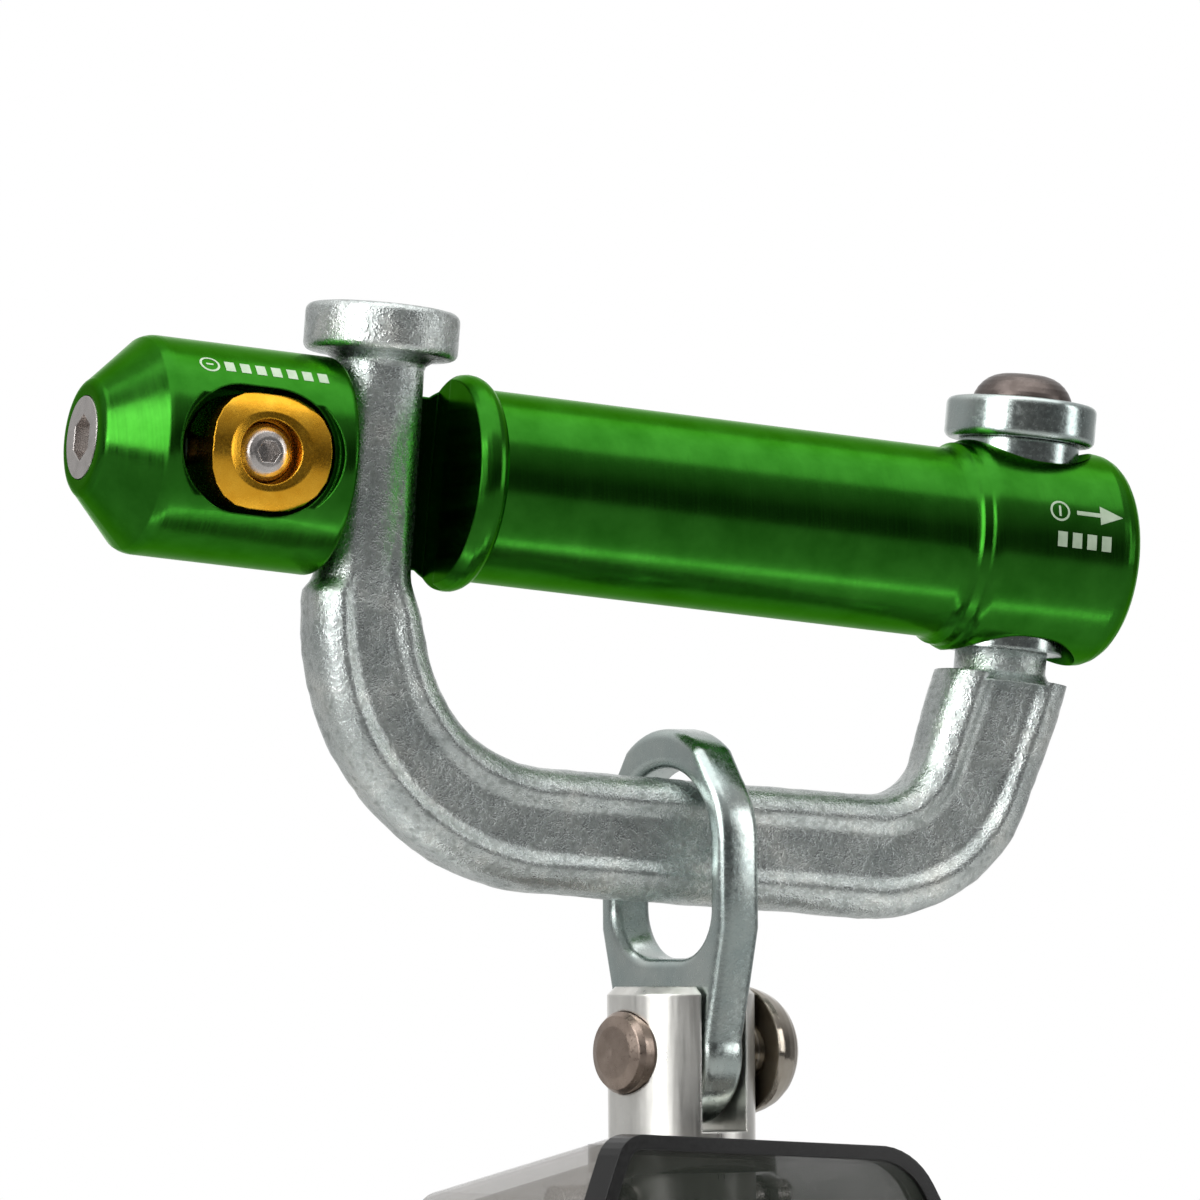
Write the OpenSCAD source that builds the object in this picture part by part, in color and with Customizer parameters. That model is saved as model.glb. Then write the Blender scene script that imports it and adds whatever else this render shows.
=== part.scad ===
// Zip line trolley with a quick-release connector: locking crossbar, forged bow,
// link plate, clevis and a two-sheave carriage in a smoked housing.
// Millimetres, +Z up. The origin is on the crossbar's axis, above the link plate.
// The connector hangs tilted about Y. The carriage hangs plumb and turned about Z.

/* [Pose] */
// Tilt of the connector about Y, right end down, in degrees
bar_tilt = 6; // [0:1:12]
// Turn of the link and carriage about Z, in degrees
yaw = 15.5; // [8:0.5:18]

/* [Crossbar] */
// Radius of the round tube
tube_r = 11.75; // [11:0.25:12]
// Radius of the two heads
head_r = 13.25; // [13:0.05:13.4]
// Left end of the nose
nose_x = -82; // [-84:0.5:-81]
// Radius of the nose face
nose_r = 7.6; // [7:0.2:9]
// Right end of the crossbar
bar_end_x = 53.8; // [53.4:0.2:56]
// Left wall of the notch
notch_x0 = -51.3; // [-52:0.1:-50.8]
// Right wall of the notch
notch_x1 = -35.4; // [-36:0.1:-34]
// Depth of the notch behind the axis
notch_back = 6.5; // [6.3:0.1:7.5]
// Extra width of the notch behind the axis
undercut = 1.2; // [0:0.1:2.8]
// Length of the lock window
window_len = 19.5; // [19:0.1:20]
// Height of the lock window
window_h = 15.4; // [15:0.1:16]
// Middle of the lock window along the crossbar
window_x = -63.75; // [-64:0.05:-63.5]
// Extra length of the pivot slot, to the right
slot_extra = 1.7; // [1.7:0.1:2]

/* [Lock] */
// Radius of the lock bolt
bolt_r = 3.7; // [3.4:0.05:3.72]
// Length of the gold slider
slider_len = 15.2; // [14:0.1:15.6]
// Height of the gold slider
slider_h = 14; // [12:0.5:14.4]
// Travel of the lock bolt
lock_travel = 2.5; // [1:0.1:2.6]

/* [Bow] */
// Middle of the left leg
leg_x = -44.9; // [-45:0.1:-44.3]
// Radius of the left leg inside the notch
leg_r = 5.6; // [5:0.1:5.6]
// Radius of the stop head on the left leg
stop_r = 9.5; // [8:0.1:10]
// Height of the bow's section, in its own plane
bow_h = 15.4; // [14:0.2:15.6]
// Thickness of the bow, along Y
bow_t = 11.6; // [10:0.2:12]
// Corner radius of the bow's section
bow_corner = 5; // [3:0.5:5.5]
// Centre line radius of the left bend
left_bend_r = 24.6; // [24:0.1:25]
// Left bend's centre along the crossbar
left_bend_x = -19.3; // [-19.6:0.1:-19]
// Height of the left bend's centre
left_bend_z = -16.3; // [-17:0.1:-16]
// Centre line radius of the right bend
right_bend_r = 14.6; // [14:0.1:15]
// Right bend's centre along the crossbar
right_bend_x = 24; // [23:0.1:25]
// Right bend's centre height
right_bend_z = -25; // [-26:0.1:-24]
// Outward lean of the right leg, in degrees
right_lean = 18.2; // [16:0.2:20]

/* [Pivot] */
// Pivot axis along the crossbar
pivot_x = 41; // [41:0.1:41.2]
// Radius of the bow's neck
neck_r = 5.75; // [5:0.05:5.8]
// Radius of the sliding bush
bush_r = 7.5; // [7:0.1:7.5]
// Radius of the pivot washer
washer_r = 9.35; // [8:0.1:10]

/* [Link plate] */
// Thickness of the link plate
link_t = 6; // [4:0.5:6.4]
// Height of the bow's bar above the clevis pin
drop = 25.6; // [25:0.1:27]
// Half width of the eye
eye_r = 9; // [8.9:0.1:9]
// Side wall of the eye
eye_wall = 3.2; // [3:0.1:4.5]
// Top wall of the eye
eye_top = 4.8; // [4:0.1:6]
// Bottom of the eye, above the pin
eye_low = 11.4; // [10.8:0.1:12]
// Radius of the link's lower end
tail_r = 9; // [8.4:0.1:9.2]

/* [Clevis] */
// Radius of the clevis post
post_r = 9; // [8.5:0.1:9.2]
// Top of the post above the pin
post_top = 8; // [7:0.5:9]
// Width of the slot
slot_w = 7; // [6.8:0.1:7.4]
// Radius of the pin
pin_r = 4; // [3.5:0.1:4.2]
// Radius of the pin's domed head
dome_r = 7.9; // [6:0.1:8.4]

/* [Carriage] */
// Height of the cable's axis, from the pin
cable_z = -42; // [-43:0.5:-42]
// Radius of the cable passage in the guide bushes
passage_r = 6.5; // [6.2:0.1:6.5]
// Half the distance between the two axles
axle_x = 21.2; // [20.8:0.1:21.3]
// Radius of the groove's root
root_r = 13.5; // [13:0.1:13.6]
// Outer radius of the sheaves
sheave_r = 18.5; // [17:0.1:18.6]
// Width of the sheaves
sheave_w = 17; // [16:0.5:18]
// Gap between the side plates
plate_gap = 20; // [19.5:0.1:20]
// Thickness of the side plates
plate_t = 2.5; // [2:0.1:3]
// Height of the cross rod, from the pin
rod_z = -18; // [-18.2:0.1:-17.9]
// Radius of the cross rod
rod_r = 2.1; // [1.6:0.1:2.1]

/* [Housing] */
// Front face of the housing's rim
front_y = -21; // [-21.5:0.1:-21]
// Back of the housing
back_y = 21; // [20.5:0.1:22]
// Wall thickness of the tub
wall = 2.2; // [1.6:0.1:2.2]
// Width of the black rim band
rim_w = 1.8; // [1.4:0.1:2.2]
// Depth of the rim band
rim_d = 4; // [3:0.1:4.5]
// Thickness of the front cover
cover_t = 2.4; // [1.5:0.1:2.6]

/* [Hidden] */
$fn = 48;
e = 0.01;
head_x0 = -74.8;
collar_x = -32.4;
step_x0 = 30;
step_x1 = 34.2;
span_x = right_bend_x - left_bend_x;
span_z = right_bend_z - left_bend_z;
rise = atan2(span_z, span_x) + asin((left_bend_r - right_bend_r) / norm([span_x, span_z]));
bar_z = left_bend_z - left_bend_r * cos(rise) - (left_bend_x + left_bend_r * sin(rise)) * tan(rise);
pin_x = bar_z * sin(bar_tilt);
pin_z = bar_z * cos(bar_tilt) - drop;
bar_len = sqrt(pow(norm([span_x, span_z]), 2) - pow(left_bend_r - right_bend_r, 2));
axle_z = cable_z - root_r - 6.6;
slider_x = -62.35;
bolt_x0 = -67;
bolt_x1 = notch_x0 + 0.3;
spring_x0 = -75.4;
plate_y = plate_gap / 2;
ties = [[-14.5, -28.2], [14.5, -28.2], [0, -75]];
cover_fix = [[30.6, -38], [43.8, -79.9], [-43.9, -79.9], [-28, -27]];

// Points on an arc from angle a0 to a1
function arc(c, r, a0, a1, n = 6) =
  [for (i = [0:n]) [c[0] + r * cos(a0 + (a1 - a0) * i / n), c[1] + r * sin(a0 + (a1 - a0) * i / n)]];

// Outline of a rectangle with round corners, w wide and h tall
function round_rect(w, h, r, n = 5) = concat(
  arc([w / 2 - r, h / 2 - r], r, 0, 90, n),
  arc([-w / 2 + r, h / 2 - r], r, 90, 180, n),
  arc([-w / 2 + r, -h / 2 + r], r, 180, 270, n),
  arc([w / 2 - r, -h / 2 + r], r, 270, 360, n));

module connector() {
  rotate([0, bar_tilt, 0]) children();
}

module carriage() {
  translate([pin_x, 0, pin_z]) rotate([0, 0, yaw]) children();
}

// Turned shape along +X: the profile is [radius, x]
module turned(profile) {
  rotate([0, 90, 0]) rotate_extrude() polygon(profile);
}

// Cylinder along +X from x0 to x1
module rod_x(r, x0, x1) {
  translate([x0, 0, 0]) rotate([0, 90, 0]) cylinder(r = r, h = x1 - x0);
}

// Cylinder along +Y from y0 to y1
module rod_y(r, y0, y1) {
  translate([0, y0, 0]) rotate([-90, 0, 0]) cylinder(r = r, h = y1 - y0);
}

// Coil spring along +X: the ends are cut square by their caps
module coil(radius, wire, x0, x1, turns) {
  steps = 20;
  sides = 8;
  n = turns * steps;
  rise_x = x1 - x0 - 2 * wire;
  pts = [for (i = [0:n], j = [0:sides - 1])
    let (a = 360 * i / steps, b = 360 * j / sides, q = radius + wire * cos(b))
    [x0 + wire + rise_x * i / n + wire * sin(b), q * cos(a), q * sin(a)]];
  walls = [for (i = [0:n - 1], j = [0:sides - 1])
    let (k = (j + 1) % sides)
    [i * sides + j, i * sides + k, (i + 1) * sides + k, (i + 1) * sides + j]];
  cap0 = [[for (j = [0:sides - 1]) sides - 1 - j]];
  cap1 = [[for (j = [0:sides - 1]) n * sides + j]];
  polyhedron(pts, concat(walls, cap0, cap1), convexity = 10);
}

// ---- Crossbar ----

module crossbar_blank() {
  profile = concat(
    [[0, nose_x]],
    arc([nose_r - 1.6, nose_x + 1.6], 1.6, 270, 330, 4),
    arc([head_r - 3, head_x0 + 0.6], 3, 330, 360, 3),
    arc([head_r - 0.8, notch_x0 - 0.8], 0.8, 0, 90, 4),
    [[head_r - 0.8, notch_x0]],
    [[head_r - 0.8, notch_x1]],
    arc([head_r - 2.2, notch_x1 + 1.9], 2.2, -35, 60, 6),
    [[tube_r, collar_x + 0.6]],
    [[tube_r, step_x0]],
    arc([tube_r + 2.2, step_x0], 2.2, 180, 130, 4),
    arc([head_r - 2.2, step_x1], 2.2, 318, 360, 4),
    arc([head_r - 3.4, bar_end_x - 3.4], 3.4, 0, 90, 6),
    [[0, bar_end_x]]);
  turned(profile);
}

module crossbar() {
  color([0.16, 0.33, 0.14]) connector() difference() {
    crossbar_blank();
    // notch for the bow's left leg
    translate([notch_x0, -20, -20]) cube([notch_x1 - notch_x0, 20 + notch_back, 40]);
    translate([notch_x1 - e, 0, -20]) cube([undercut + e, notch_back, 40]);
    // lock window
    translate([window_x - window_len / 2, -20, 0]) window_cut(window_len, window_h, 16.8);
    translate([window_x - window_len / 2 - 0.7, -20, 0]) window_cut(window_len + 1.4, window_h + 1.4, 8.3);
    // lock bolt bore, spring seat, thread and screw seat
    rod_x(bolt_r + 0.08, spring_x0 - 0.1, notch_x0 + e);
    rod_x(3.03, -79.5, spring_x0);
    rod_x(5.1, nose_x - 1, -79.5);
    // pivot slot
    translate([pivot_x, 0, -20]) cylinder(r = bush_r + 0.1, h = 40);
    translate([pivot_x + slot_extra, 0, -20]) cylinder(r = bush_r + 0.1, h = 40);
    translate([pivot_x, -bush_r - 0.1, -20]) cube([slot_extra, 2 * bush_r + 0.2, 40]);
    // drilled core from the right end
    rod_x(4.6, -26, bar_end_x + 1);
  }
}

module window_cut(len, h, depth) {
  r = h / 2;
  translate([r, 0, 0]) rotate([-90, 0, 0]) cylinder(r = r, h = depth);
  translate([len - r, 0, 0]) rotate([-90, 0, 0]) cylinder(r = r, h = depth);
  translate([r, 0, -r]) cube([len - 2 * r, depth, h]);
}

module nose_screw() {
  color([0.62, 0.63, 0.62]) connector() difference() {
    union() {
      rod_x(5, nose_x - 0.1, -79.5);
      rod_x(3, -79.6, spring_x0 - 0.1);
    }
    translate([nose_x - 1, 0, 0]) rotate([0, 90, 0]) cylinder(r = 2.9, h = 2.9, $fn = 6);
  }
}

module end_plug() {
  color([0.1, 0.1, 0.1]) connector() rod_x(4.58, bar_end_x - 1.8, bar_end_x - 0.1);
}

module bar_spring() {
  color([0.6, 0.6, 0.6]) connector() coil(3.9, 0.35, 48.8, bar_end_x - 1.9, 2);
}

// ---- Lock ----

module lock_slider() {
  color([0.83, 0.62, 0.2]) connector() difference() {
    intersection() {
      translate([slider_x, -3.8, 0]) rotate([90, 0, 0])
        linear_extrude(9) polygon(round_rect(slider_len, slider_h, 6));
      rod_x(12.55, -75, -50);
    }
    translate([slider_x, -27, -10]) cylinder(r = 15.4, h = 20);
    translate([slider_x, -14, 0]) rotate([-90, 0, 0]) cylinder(r = 3.95, h = 4.9);
    translate([slider_x, -14, 0]) rotate([-90, 0, 0]) cylinder(r = 2.03, h = 12);
  }
}

module slider_screw() {
  color([0.7, 0.7, 0.72]) connector() difference() {
    union() {
      translate([slider_x, 0, 0]) rod_y(2, -9.2, 1.5);
      translate([slider_x, -9.1, 0]) rotate([90, 0, 0]) rotate_extrude()
        polygon(concat([[0, 0], [3.8, 0]], arc([1.2, -0.35], 2.65, 20, 90, 5), [[0, 2.3]]));
    }
    translate([slider_x, -12.2, 0]) rotate([-90, 0, 0]) cylinder(r = 1.45, h = 2.4, $fn = 6);
  }
}

module lock_bolt() {
  color([0.34, 0.14, 0.09]) connector() difference() {
    turned([[0, bolt_x0], [bolt_r - 0.4, bolt_x0], [bolt_r, bolt_x0 + 0.4], [bolt_r, bolt_x1 - 0.5],
      [bolt_r - 0.5, bolt_x1], [0, bolt_x1]]);
    translate([slider_x, -8, 0]) rotate([-90, 0, 0]) cylinder(r = 2.02, h = 9.7);
  }
}

module lock_spring() {
  color([0.6, 0.6, 0.6]) connector() coil(3, 0.35, spring_x0 + 0.05, bolt_x0 - 0.05, 5);
}

// ---- Pivot ----

module pivot_bush() {
  color([0.55, 0.5, 0.4]) connector() translate([pivot_x, 0, -12.5]) difference() {
    cylinder(r = bush_r, h = 26);
    translate([0, 0, -1]) cylinder(r = neck_r + 0.06, h = 30);
  }
}

module pivot_washer() {
  color([0.75, 0.77, 0.78]) connector() translate([pivot_x, 0, 0]) rotate_extrude()
    polygon(concat([[neck_r + 0.06, 13.6]], arc([washer_r - 0.8, 14.4], 0.8, 270, 360, 4),
      arc([washer_r - 0.8, 17.8], 0.8, 0, 90, 4), [[neck_r + 0.06, 18.6]]));
}

module pivot_rivet() {
  color([0.28, 0.28, 0.29]) connector() translate([pivot_x, 0, 0]) rotate_extrude()
    polygon(concat([[0, 8], [2.9, 8], [2.9, 18.85], [6.2, 18.85]],
      arc([2.2, 17.9], 4.1, 22, 90, 6), [[0, 22]]));
}

// ---- Bow ----

module bow_section(grow = 0) {
  polygon(round_rect(bow_h + grow, bow_t + grow, bow_corner));
}

module bow() {
  color([0.72, 0.74, 0.75]) connector() difference() {
    union() {
      // stop head and left leg
      translate([leg_x, 0, 0]) rotate_extrude()
        polygon(concat([[0, -15], [leg_r, -15], [leg_r, 13.5], [6.6, 13.75], [8.3, 14],
          [stop_r, 15.3]], arc([stop_r - 1.2, 19], 1.2, 0, 90, 4), [[0, 20.2]]));
      // swelling under the crossbar
      hull() {
        translate([leg_x, 0, -14]) linear_extrude(0.25) polygon(round_rect(13.4, 11, 5));
        translate([left_bend_x - left_bend_r, 0, left_bend_z - 1]) linear_extrude(0.1) bow_section(-0.3);
      }
      // left bend
      translate([left_bend_x, 0, left_bend_z]) rotate([90, 0, 0]) rotate([0, 0, 180])
        rotate_extrude(angle = 90 + rise) translate([left_bend_r, 0]) bow_section();
      // bottom bar
      translate([left_bend_x + left_bend_r * sin(rise), 0, left_bend_z - left_bend_r * cos(rise)])
        rotate([0, 90 - rise, 0]) translate([0, 0, -0.5]) linear_extrude(bar_len + 1) bow_section(0.16);
      // right bend
      translate([right_bend_x, 0, right_bend_z]) rotate([90, 0, 0]) rotate([0, 0, 270 + rise])
        rotate_extrude(angle = 90 - right_lean - rise) translate([right_bend_r, 0]) bow_section();
      // right leg up to its shoulder
      hull() {
        translate([right_bend_x, 0, right_bend_z]) rotate([0, right_lean, 0])
          translate([right_bend_r, 0, -1]) linear_extrude(0.2) bow_section(-0.3);
        translate([pivot_x + 0.3, 0, -17.4]) cylinder(r1 = 8.6, r2 = 8.2, h = 1.9, $fn = 32);
      }
      // neck
      translate([pivot_x, 0, -18]) cylinder(r = neck_r, h = 36.8);
    }
    translate([pivot_x, 0, 7.9]) cylinder(r = 2.93, h = 20);
  }
}

// ---- Link plate ----

// Outline in the plate's own plane: half width along Y, height along Z
module link_outline() {
  half = eye_r + eye_wall;
  polygon(concat(
    arc([0, drop], half, 0, 40, 4),
    arc([0, drop + eye_r + eye_top - 11.2], 11.2, 50, 130, 10),
    arc([0, drop], half, 140, 180, 4),
    [[-half, 15]],
    arc([0, 0], tail_r, 172, 368, 18),
    [[half, 15]]));
}

module eye_outline() {
  r = 6.2;
  polygon(concat(
    arc([0, drop], eye_r, 0, 180, 16),
    arc([-eye_r + r, eye_low + r], r, 180, 270, 6),
    arc([eye_r - r, eye_low + r], r, 270, 360, 6)));
}

// Plate standing in the YZ plane, t thick about X = 0
module plate_yz(t) {
  translate([-t / 2, 0, 0]) rotate([90, 0, 90]) linear_extrude(t) children();
}

module link_plate() {
  color([0.68, 0.72, 0.72]) carriage() difference() {
    plate_yz(link_t) link_outline();
    plate_yz(link_t + 2) eye_outline();
    rod_x(5.5, -5, 5);
  }
}

module link_bush() {
  color([0.6, 0.5, 0.25]) carriage() difference() {
    rod_x(5.48, -2.9, 2.9);
    rod_x(pin_r + 0.06, -5, 5);
  }
}

// ---- Clevis ----

module clevis() {
  color([0.78, 0.8, 0.81]) carriage() difference() {
    union() {
      translate([0, 0, -34]) cylinder(r = post_r, h = post_top + 33);
      translate([0, 0, post_top - 1 - e]) cylinder(r1 = post_r, r2 = post_r - 1, h = 1 + e);
    }
    translate([-slot_w / 2, -20, -9.7]) cube([slot_w, 40, 30]);
    rod_x(pin_r + 0.02, -12, 12);
    rod_x(5.1, -12, -8.1);
    translate([0, 0, rod_z]) rod_x(rod_r + 0.02, -12, 12);
    translate([0, 0, -26]) rod_y(4.04, -12, 12);
  }
}

module clevis_pin() {
  color([0.74, 0.74, 0.74]) carriage() {
    turned(concat([[0, -9.4], [pin_r, -9.4], [pin_r, 9.05], [dome_r, 9.05], [dome_r, 9.9]],
      arc([2.4, 9.6], 5.4, 15, 75, 5), [[2.2, 15], [0, 15.1]]));
  }
}

module pin_collar() {
  color([0.5, 0.42, 0.38]) carriage() difference() {
    turned([[0, -10.9], [3.2, -10.7], [4.5, -10.2], [5, -9.5], [5, -8.12], [0, -8.12]]);
    rod_x(pin_r + 0.02, -9.42, -8);
  }
}

module cross_rod() {
  color([0.75, 0.76, 0.77]) carriage() translate([0, 0, rod_z]) rod_x(rod_r, -20, 15.4);
}

module rod_rings() {
  color([0.08, 0.08, 0.08]) carriage() translate([0, 0, rod_z]) for (x = [-12.4, 12.4])
    difference() {
      rod_x(rod_r + 0.6, x - 0.6, x + 0.6);
      rod_x(rod_r + 0.02, x - 1, x + 1);
    }
}

// ---- Carriage frame ----

module plate_outline() {
  polygon([[-15, -21], [14, -21], [18, -25], [31.5, -54], [33.5, -62], [30, -70], [8, -80.5],
    [-8, -80.5], [-30, -70], [-33.5, -62], [-31.5, -54], [-18, -25]]);
}

module side_plate(y0) {
  difference() {
    translate([0, y0 + plate_t, 0]) rotate([90, 0, 0]) linear_extrude(plate_t) plate_outline();
    for (x = [-axle_x, axle_x]) translate([x, 0, axle_z]) rod_y(4.03, y0 - 1, y0 + plate_t + 1);
    for (p = ties) translate([p[0], 0, p[1]]) rod_y(2.03, y0 - 1, y0 + plate_t + 1);
    translate([0, 0, -26]) rod_y(4.04, y0 - 1, y0 + plate_t + 1);
  }
}

module side_plate_front() {
  color([0.07, 0.07, 0.08]) carriage() side_plate(-plate_y - plate_t);
}

module side_plate_back() {
  color([0.07, 0.07, 0.08]) carriage() side_plate(plate_y);
}

// Bolt along +Y: head at y0 facing -Y, shank to y1
module bolt_y(shank, head, head_h, y0, y1) {
  difference() {
    union() {
      rod_y(shank, y0 - e, y1);
      rotate([90, 0, 0]) translate([0, 0, -y0]) cylinder(r1 = head, r2 = head - 0.5, h = head_h);
    }
    rotate([90, 0, 0]) translate([0, 0, head_h * 0.4 - y0]) cylinder(r = shank * 0.62, h = 9, $fn = 6);
  }
}

module nut_y(shank, across, y0, h) {
  difference() {
    translate([0, y0, 0]) rotate([-90, 0, 0]) cylinder(r = across / 1.732, h = h, $fn = 6);
    rod_y(shank + 0.02, y0 - 1, y0 + h + 1);
  }
}

module hanger_bolt() {
  color([0.66, 0.67, 0.68]) carriage() translate([0, 0, -26])
    bolt_y(4, 6.6, 2.8, -plate_y - plate_t, plate_y + plate_t + 4.6);
}

module hanger_nut() {
  color([0.66, 0.67, 0.68]) carriage() translate([0, 0, -26])
    nut_y(4, 12.6, plate_y + plate_t, 4.2);
}

module tie_spacers() {
  color([0.7, 0.72, 0.73]) carriage() for (p = ties) translate([p[0], 0, p[1]]) difference() {
    rod_y(4, -plate_y, plate_y);
    rod_y(2.03, -plate_y - 1, plate_y + 1);
  }
}

module tie_bolts() {
  color([0.66, 0.67, 0.68]) carriage() for (p = ties) translate([p[0], 0, p[1]])
    bolt_y(2, 3.8, 2, -plate_y - plate_t, plate_y + plate_t + 3.2);
}

module tie_nuts() {
  color([0.66, 0.67, 0.68]) carriage() for (p = ties) translate([p[0], 0, p[1]])
    nut_y(2, 7, plate_y + plate_t, 3);
}

// ---- Sheaves ----

groove_r = 6.6;
cheek_y = 4;
hub_r = 12.6;

// Turned core: hub with the middle of the groove
module sheave_core() {
  half = sheave_w / 2;
  top = asin(cheek_y / groove_r);
  rotate([-90, 0, 0]) rotate_extrude() polygon(concat(
    [[11.02, half], [hub_r, half], [hub_r, cheek_y]],
    arc([root_r + groove_r, 0], groove_r, 180 - top, 180 + top, 8),
    [[hub_r, -cheek_y], [hub_r, -half], [11.02, -half]]));
}

// Cheek pressed on the hub, with the flank of the groove
module sheave_cheek() {
  half = sheave_w / 2;
  inner = cheek_y + 0.02;
  low = asin(inner / groove_r);
  rotate_extrude() polygon(concat(
    [[hub_r + 0.02, inner]],
    arc([root_r + groove_r, 0], groove_r, 180 - low, 107, 6),
    [[sheave_r, 6.5], [sheave_r, half - 0.8], [sheave_r - 0.8, half], [hub_r + 0.02, half]]));
}

module sheave_cheeks() {
  for (side = [-90, 90]) rotate([side, 0, 0]) sheave_cheek();
}

module sheave_left() {
  color([0.85, 0.86, 0.86]) carriage() translate([-axle_x, 0, axle_z]) sheave_core();
}

module sheave_cheeks_left() {
  color([0.8, 0.81, 0.82]) carriage() translate([-axle_x, 0, axle_z]) sheave_cheeks();
}

module sheave_right() {
  color([0.85, 0.86, 0.86]) carriage() translate([axle_x, 0, axle_z]) sheave_core();
}

module sheave_cheeks_right() {
  color([0.8, 0.81, 0.82]) carriage() translate([axle_x, 0, axle_z]) sheave_cheeks();
}

// Outer rings with their seals
module bearing_rings(x) {
  translate([x, 0, axle_z]) for (y = [-4, 4]) translate([0, y, 0]) rotate([-90, 0, 0])
    rotate_extrude() polygon(concat([[11, 3.5], [6.3, 3.5], [6.3, 3], [9.2, 3]],
      arc([7.9, 0], 2.05, 50, -50, 6), [[9.2, -3], [6.3, -3], [6.3, -3.5], [11, -3.5]]));
}

module bearing_rings_left() {
  color([0.5, 0.52, 0.54]) carriage() bearing_rings(-axle_x);
}

module bearing_rings_right() {
  color([0.5, 0.52, 0.54]) carriage() bearing_rings(axle_x);
}

module bearing_balls(x) {
  translate([x, 0, axle_z]) for (y = [-4, 4], i = [0:7])
    translate([7.9 * cos(45 * i), y, 7.9 * sin(45 * i)]) sphere(r = 1.9, $fn = 24);
}

module bearing_balls_left() {
  color([0.8, 0.8, 0.8]) carriage() bearing_balls(-axle_x);
}

module bearing_balls_right() {
  color([0.8, 0.8, 0.8]) carriage() bearing_balls(axle_x);
}

module bearing_inner_rings() {
  color([0.5, 0.52, 0.54]) carriage() for (x = [-axle_x, axle_x], y = [-4, 4])
    translate([x, y, axle_z]) rotate([-90, 0, 0]) rotate_extrude()
      polygon(concat([[4.03, -3.5], [6.1, -3.5], [6.1, -2]],
        arc([7.9, 0], 2.0, 215, 145, 5), [[6.1, 2], [6.1, 3.5], [4.03, 3.5]]));
}

module axle_bolts() {
  color([0.66, 0.67, 0.68]) carriage() for (x = [-axle_x, axle_x]) translate([x, 0, axle_z])
    bolt_y(4, 6.6, 2.8, -plate_y - plate_t, plate_y + plate_t + 4.6);
}

module axle_nuts() {
  color([0.66, 0.67, 0.68]) carriage() for (x = [-axle_x, axle_x]) translate([x, 0, axle_z])
    nut_y(4, 12.6, plate_y + plate_t, 4.2);
}

module axle_spacers() {
  color([0.7, 0.72, 0.73]) carriage() for (x = [-axle_x, axle_x], s = [-1, 1])
    translate([x, s * (plate_y + 7.5) / 2, axle_z]) difference() {
      rod_y(5.9, -(plate_y - 7.5) / 2, (plate_y - 7.5) / 2);
      rod_y(4.03, -5, 5);
    }
}

// ---- Housing ----

// Front outline in the XZ plane, inset by d
function shell_points(d) = concat(
  arc([-23, -13.5], 4 - d, 90, 157, 5),
  [[-49.6 + d * 0.95, -67.5]],
  arc([-41.6, -77.5], 8 - d, 180, 270, 6),
  arc([41.4, -77.5], 8 - d, 270, 360, 6),
  arc([41.4, -62], 8 - d, 0, 32, 4),
  arc([13.5, -22], 10.5 - d, 32, 90, 8));

module shell_slab(d, y, t) {
  translate([0, y + t, 0]) rotate([90, 0, 0]) linear_extrude(t) polygon(shell_points(d));
}

// Hull between the front outline and a smaller, lower back outline
module shell_body(d, y0, y1) {
  hull() {
    shell_slab(d, y0, 0.1);
    translate([0, 0, -53]) scale([0.93, 1, 0.93]) translate([0, 0, 48.5])
      shell_slab(d, y1 - 0.1, 0.1);
  }
}

module tub() {
  color([0.55, 0.57, 0.56, 0.35]) carriage() difference() {
    union() {
      difference() {
        shell_body(0.15, front_y + rim_d + 0.1, back_y);
        shell_body(wall, front_y + rim_d - 1, back_y - wall);
      }
      // seats of the guide bushes
      rod_x_at(9.6, -44.5, -36.6);
      rod_x_at(9.6, 35.4, 44.5);
      // hoods over the cable where it passes the sloping walls
      for (x = [-37, 28]) intersection() {
        rod_x_at(9.4, x, x + 9);
        translate([x - 1, -12, cable_z + 0.5]) cube([11, 24, 12]);
      }
      // bosses of the cover screws
      for (p = cover_fix) translate([p[0], 0, p[1]]) rod_y(3.1, front_y + rim_d + 0.4, -9);
    }
    rod_x_at(8.03, -60, -27);
    rod_x_at(8.03, 27, 60);
    for (p = cover_fix) translate([p[0], 0, p[1]]) rod_y(1.53, front_y, -5);
    translate([0, 0, -22]) cylinder(r = 11.6, h = 30);
    // groove of the cross rod and pockets of its rings
    translate([0, 0, rod_z]) {
      rod_x(rod_r + 0.2, -20.4, 15.8);
      for (x = [-12.4, 12.4]) rod_x(rod_r + 0.8, x - 0.9, x + 0.9);
    }
  }
}

// Cylinder along +X on the cable's axis
module rod_x_at(r, x0, x1) {
  translate([0, 0, cable_z]) rod_x(r, x0, x1);
}

module guide_bushes() {
  color([0.12, 0.12, 0.12]) carriage() difference() {
    union() {
      rod_x_at(8, -46.5, -36.6);
      rod_x_at(8, 36.6, 46.5);
      rod_x_at(10.4, -48, -44.9);
      rod_x_at(10.4, 44.9, 48);
    }
    rod_x_at(passage_r, -60, 60);
  }
}

module rim_gasket() {
  color([0.03, 0.03, 0.03]) carriage() difference() {
    shell_slab(0, front_y, rim_d);
    shell_slab(rim_w, front_y - 1, rim_d + 2);
  }
}

module front_cover() {
  color([0.5, 0.53, 0.52, 0.25]) carriage() difference() {
    shell_slab(rim_w + 0.05, front_y + 0.6, cover_t);
    for (p = cover_fix) translate([p[0], 0, p[1]]) rod_y(1.6, front_y - 1, front_y + 6);
  }
}

module cover_screws() {
  color([0.6, 0.6, 0.6]) carriage() for (p = cover_fix) translate([p[0], 0, p[1]])
    bolt_y(1.5, 2.4, 1.4, front_y + 0.6, front_y + 12.5);
}

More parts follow.
